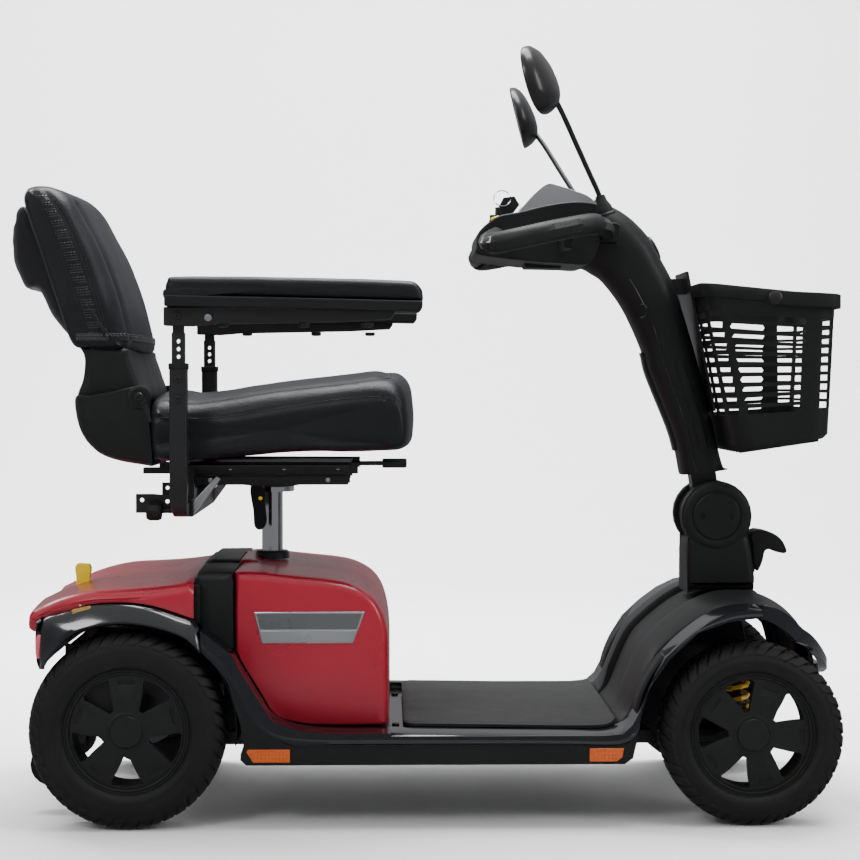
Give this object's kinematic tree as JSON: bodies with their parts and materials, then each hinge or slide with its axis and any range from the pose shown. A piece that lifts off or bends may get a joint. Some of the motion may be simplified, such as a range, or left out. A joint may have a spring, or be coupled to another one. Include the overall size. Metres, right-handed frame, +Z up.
{
  "type": "mobility scooter",
  "caption": "Four-wheeled electric mobility scooter with a swivelling padded armchair seat, flat footwell, raked tiller with loop handle and mirrors, and front basket.",
  "frame": {"origin": "centre of the bounding box on the ground", "axes": "+X forward, +Y to the rider's left, +Z up"},
  "size_m": [1.234, 0.58, 1.1254],
  "materials": {
    "gloss_red": "glossy painted moulding",
    "gloss_black": "glossy painted moulding",
    "matte_grey": "fine-grained moulding",
    "tyre_rubber": "matt rubber",
    "roller_rubber": "matt solid rubber",
    "mat_rubber": "fine-textured sheet",
    "rim_plastic": "satin moulded rim",
    "black_steel": "satin black powder coat",
    "chrome": "bright plating",
    "vinyl": "grained padded vinyl",
    "fabric": "woven cloth",
    "yellow_plastic": "satin moulding",
    "yellow_spring": "yellow powder coat",
    "battery_case": "moulded case",
    "control_plastic": "satin moulding",
    "cast_aluminium": "as cast"
  },
  "bodies": {
    "chassis": {"main_frame": "black_steel", "deck_body": "gloss_black", "deck_mat": "mat_rubber", "lower_tray": "matte_grey", "front_shroud": "matte_grey", "front_bumper": "gloss_black", "battery_cover": "gloss_red", "body_band": "matte_grey", "rear_shroud": "gloss_red", "rear_fender": "gloss_black", "battery_R": "battery_case", "battery_L": "battery_case", "transaxle": "cast_aluminium", "front_spring_R": "yellow_spring", "front_spring_L": "yellow_spring"},
    "freewheel": {"freewheel_lever": "yellow_plastic"},
    "rollers": {"anti_tip_rollers": "roller_rubber"},
    "rear_wheel_R": {"rear_tyre_R": "tyre_rubber", "rear_rim_R": "rim_plastic"},
    "rear_wheel_L": {"rear_tyre_L": "tyre_rubber", "rear_rim_L": "rim_plastic"},
    "front_wheel_R": {"front_tyre_R": "tyre_rubber", "front_rim_R": "rim_plastic"},
    "front_wheel_L": {"front_tyre_L": "tyre_rubber", "front_rim_L": "rim_plastic"},
    "front_axle": {"front_axle_beam": "black_steel"},
    "knuckle_body_R": {"knuckle_R": "black_steel"},
    "knuckle_body_L": {"knuckle_L": "black_steel"},
    "track_rod": {"tie_rod": "black_steel"},
    "steering": {"steering_stem": "matte_grey"},
    "tilt_release": {"tilt_lever": "control_plastic"},
    "tiller": {"tiller_mast": "black_steel", "tiller_cover": "matte_grey", "console": "gloss_black", "handle_loop": "black_steel", "basket_bracket": "black_steel"},
    "throttle": {"throttle_lever": "control_plastic"},
    "knob": {"speed_knob": "control_plastic"},
    "key": {"ignition_key": "control_plastic"},
    "horn": {"horn_button": "control_plastic"},
    "mirror_body_R": {"mirror_R": "black_steel"},
    "mirror_body_L": {"mirror_L": "black_steel"},
    "basket_body": {"basket": "matte_grey"},
    "basket_bail": {"basket_handle": "matte_grey"},
    "post": {"seat_post": "chrome"},
    "swivel": {"seat_swivel_base": "black_steel"},
    "swivel_release": {"swivel_lever": "control_plastic"},
    "seat": {"seat_carriage": "black_steel", "seat_cushion": "vinyl", "seat_shell": "matte_grey"},
    "slide_release": {"slide_lever": "black_steel"},
    "back": {"backrest_shell": "matte_grey", "backrest_cushion": "vinyl", "backrest_pouch": "fabric"},
    "arm_R": {"arm_sleeve_R": "black_steel"},
    "arm_L": {"arm_sleeve_L": "black_steel"},
    "arm_post_R": {"arm_upright_R": "black_steel"},
    "arm_post_L": {"arm_upright_L": "black_steel"},
    "armrest_body_R": {"armrest_R": "vinyl"},
    "armrest_body_L": {"armrest_L": "vinyl"}
  },
  "joints": [
    {"name": "rear_wheel_spin_R", "type": "hinge", "parent": "chassis", "child": "rear_wheel_R", "pos_m": [-0.427, -0.239, 0.14], "axis": [0, 1, 0], "continuous": true},
    {"name": "rear_wheel_spin_L", "type": "hinge", "parent": "chassis", "child": "rear_wheel_L", "pos_m": [-0.427, 0.239, 0.14], "axis": [0, 1, 0], "continuous": true},
    {"name": "front_suspension", "type": "slide", "parent": "chassis", "child": "front_axle", "axis": [0, 0, 1], "range_m": [0, 0.006], "stiffness_N_per_m": 20000, "springref_m": -0.03, "deforming": ["front_spring_R", "front_spring_L"]},
    {"name": "steer", "type": "hinge", "parent": "chassis", "child": "steering", "pos_m": [0.45, 0, 0.33], "axis": [-0.2588, 0, 0.9659], "range_deg": [-40, 40]},
    {"name": "kingpin_R", "type": "hinge", "parent": "front_axle", "child": "knuckle_body_R", "pos_m": [0.4675, -0.2025, 0.131], "axis": [0, 0, 1], "range_deg": [-25, 25]},
    {"name": "front_wheel_spin_R", "type": "hinge", "parent": "knuckle_body_R", "child": "front_wheel_R", "pos_m": [0.4675, -0.2325, 0.131], "axis": [0, 1, 0], "continuous": true},
    {"name": "kingpin_L", "type": "hinge", "parent": "front_axle", "child": "knuckle_body_L", "pos_m": [0.4675, 0.2025, 0.131], "axis": [0, 0, 1], "range_deg": [-25, 25]},
    {"name": "front_wheel_spin_L", "type": "hinge", "parent": "knuckle_body_L", "child": "front_wheel_L", "pos_m": [0.4675, 0.2325, 0.131], "axis": [0, 1, 0], "continuous": true},
    {"name": "track_rod_shift", "type": "slide", "parent": "front_axle", "child": "track_rod", "axis": [0, 1, 0], "range_m": [-0.0265, 0.0265]},
    {"name": "roller_spin", "type": "hinge", "parent": "chassis", "child": "rollers", "pos_m": [-0.556, 0, 0.068], "axis": [0, 1, 0], "continuous": true},
    {"name": "freewheel_pull", "type": "hinge", "parent": "chassis", "child": "freewheel", "pos_m": [-0.509, -0.12, 0.262], "axis": [0, 1, 0], "range_deg": [0, 18]},
    {"name": "tiller_tilt", "type": "hinge", "parent": "steering", "child": "tiller", "pos_m": [0.448, 0, 0.431], "axis": [0, 1, 0], "range_deg": [0, 25]},
    {"name": "tilt_release_pull", "type": "hinge", "parent": "steering", "child": "tilt_release", "pos_m": [0.514, 0, 0.396], "axis": [0, -1, 0], "range_deg": [0, 22], "stiffness_Nm_per_rad": 1, "springref_deg": -17.19},
    {"name": "throttle_turn", "type": "hinge", "parent": "tiller", "child": "throttle", "pos_m": [0.208, 0, 0.8465], "axis": [0, 0, 1], "range_deg": [-12, 12], "stiffness_Nm_per_rad": 1.5},
    {"name": "speed_dial", "type": "hinge", "parent": "tiller", "child": "knob", "pos_m": [0.124, 0.03, 0.897], "axis": [-0.0761, 0, 0.9971], "range_deg": [0, 270]},
    {"name": "key_turn", "type": "hinge", "parent": "tiller", "child": "key", "pos_m": [0.128, -0.01, 0.894], "axis": [0, 0, -1], "range_deg": [0, 90]},
    {"name": "horn_press", "type": "slide", "parent": "tiller", "child": "horn", "axis": [0, 0, -1], "range_m": [0, 0.003], "stiffness_N_per_m": 400, "springref_m": -0.003},
    {"name": "mirror_turn_R", "type": "hinge", "parent": "tiller", "child": "mirror_body_R", "pos_m": [0.2657, -0.1195, 0.895], "axis": [0, 0, 1], "range_deg": [-30, 30]},
    {"name": "mirror_turn_L", "type": "hinge", "parent": "tiller", "child": "mirror_body_L", "pos_m": [0.2657, 0.1195, 0.895], "axis": [0, 0, 1], "range_deg": [-30, 30]},
    {"name": "basket_lift", "type": "slide", "parent": "tiller", "child": "basket_body", "axis": [-0.1978, 0, 0.9802], "range_m": [0, 0.06]},
    {"name": "basket_bail_swing", "type": "hinge", "parent": "basket_body", "child": "basket_bail", "pos_m": [0.513, 0, 0.76], "axis": [0, -1, 0], "range_deg": [0, 95]},
    {"name": "seat_height", "type": "slide", "parent": "chassis", "child": "post", "axis": [0, 0, 1], "range_m": [0, 0.06]},
    {"name": "seat_swivel", "type": "hinge", "parent": "post", "child": "swivel", "pos_m": [-0.2345, 0, 0.48], "axis": [0, 0, 1], "range_deg": [-90, 90]},
    {"name": "swivel_release_pull", "type": "hinge", "parent": "swivel", "child": "swivel_release", "pos_m": [-0.253, -0.06, 0.477], "axis": [0, 1, 0], "range_deg": [0, 18], "stiffness_Nm_per_rad": 0.5, "springref_deg": -11.46},
    {"name": "seat_slide", "type": "slide", "parent": "swivel", "child": "seat", "axis": [1, 0, 0], "range_m": [-0.04, 0.04]},
    {"name": "slide_release_pull", "type": "hinge", "parent": "seat", "child": "slide_release", "pos_m": [-0.1105, -0.11, 0.515], "axis": [0, -1, 0], "range_deg": [0, 7], "stiffness_Nm_per_rad": 2, "springref_deg": -5.73},
    {"name": "back_fold", "type": "hinge", "parent": "seat", "child": "back", "pos_m": [-0.426, 0, 0.613], "axis": [0, 1, 0], "range_deg": [0, 75]},
    {"name": "arm_width_R", "type": "slide", "parent": "seat", "child": "arm_R", "axis": [0, -1, 0], "range_m": [0, 0.04]},
    {"name": "arm_height_R", "type": "slide", "parent": "arm_R", "child": "arm_post_R", "axis": [0, 0, 1], "range_m": [0, 0.05]},
    {"name": "armrest_flip_R", "type": "hinge", "parent": "arm_post_R", "child": "armrest_body_R", "pos_m": [-0.353, -0.26, 0.729], "axis": [0, -1, 0], "range_deg": [0, 95]},
    {"name": "arm_width_L", "type": "slide", "parent": "seat", "child": "arm_L", "axis": [0, 1, 0], "range_m": [0, 0.04]},
    {"name": "arm_height_L", "type": "slide", "parent": "arm_L", "child": "arm_post_L", "axis": [0, 0, 1], "range_m": [0, 0.05]},
    {"name": "armrest_flip_L", "type": "hinge", "parent": "arm_post_L", "child": "armrest_body_L", "pos_m": [-0.353, 0.26, 0.729], "axis": [0, -1, 0], "range_deg": [0, 95]}
  ],
  "couplings": [
    {"joint": "kingpin_R", "follows": "steer", "ratio": 0.62},
    {"joint": "kingpin_L", "follows": "steer", "ratio": 0.62},
    {"joint": "track_rod_shift", "follows": "steer", "m_per_rad": 0.0368}
  ]
}
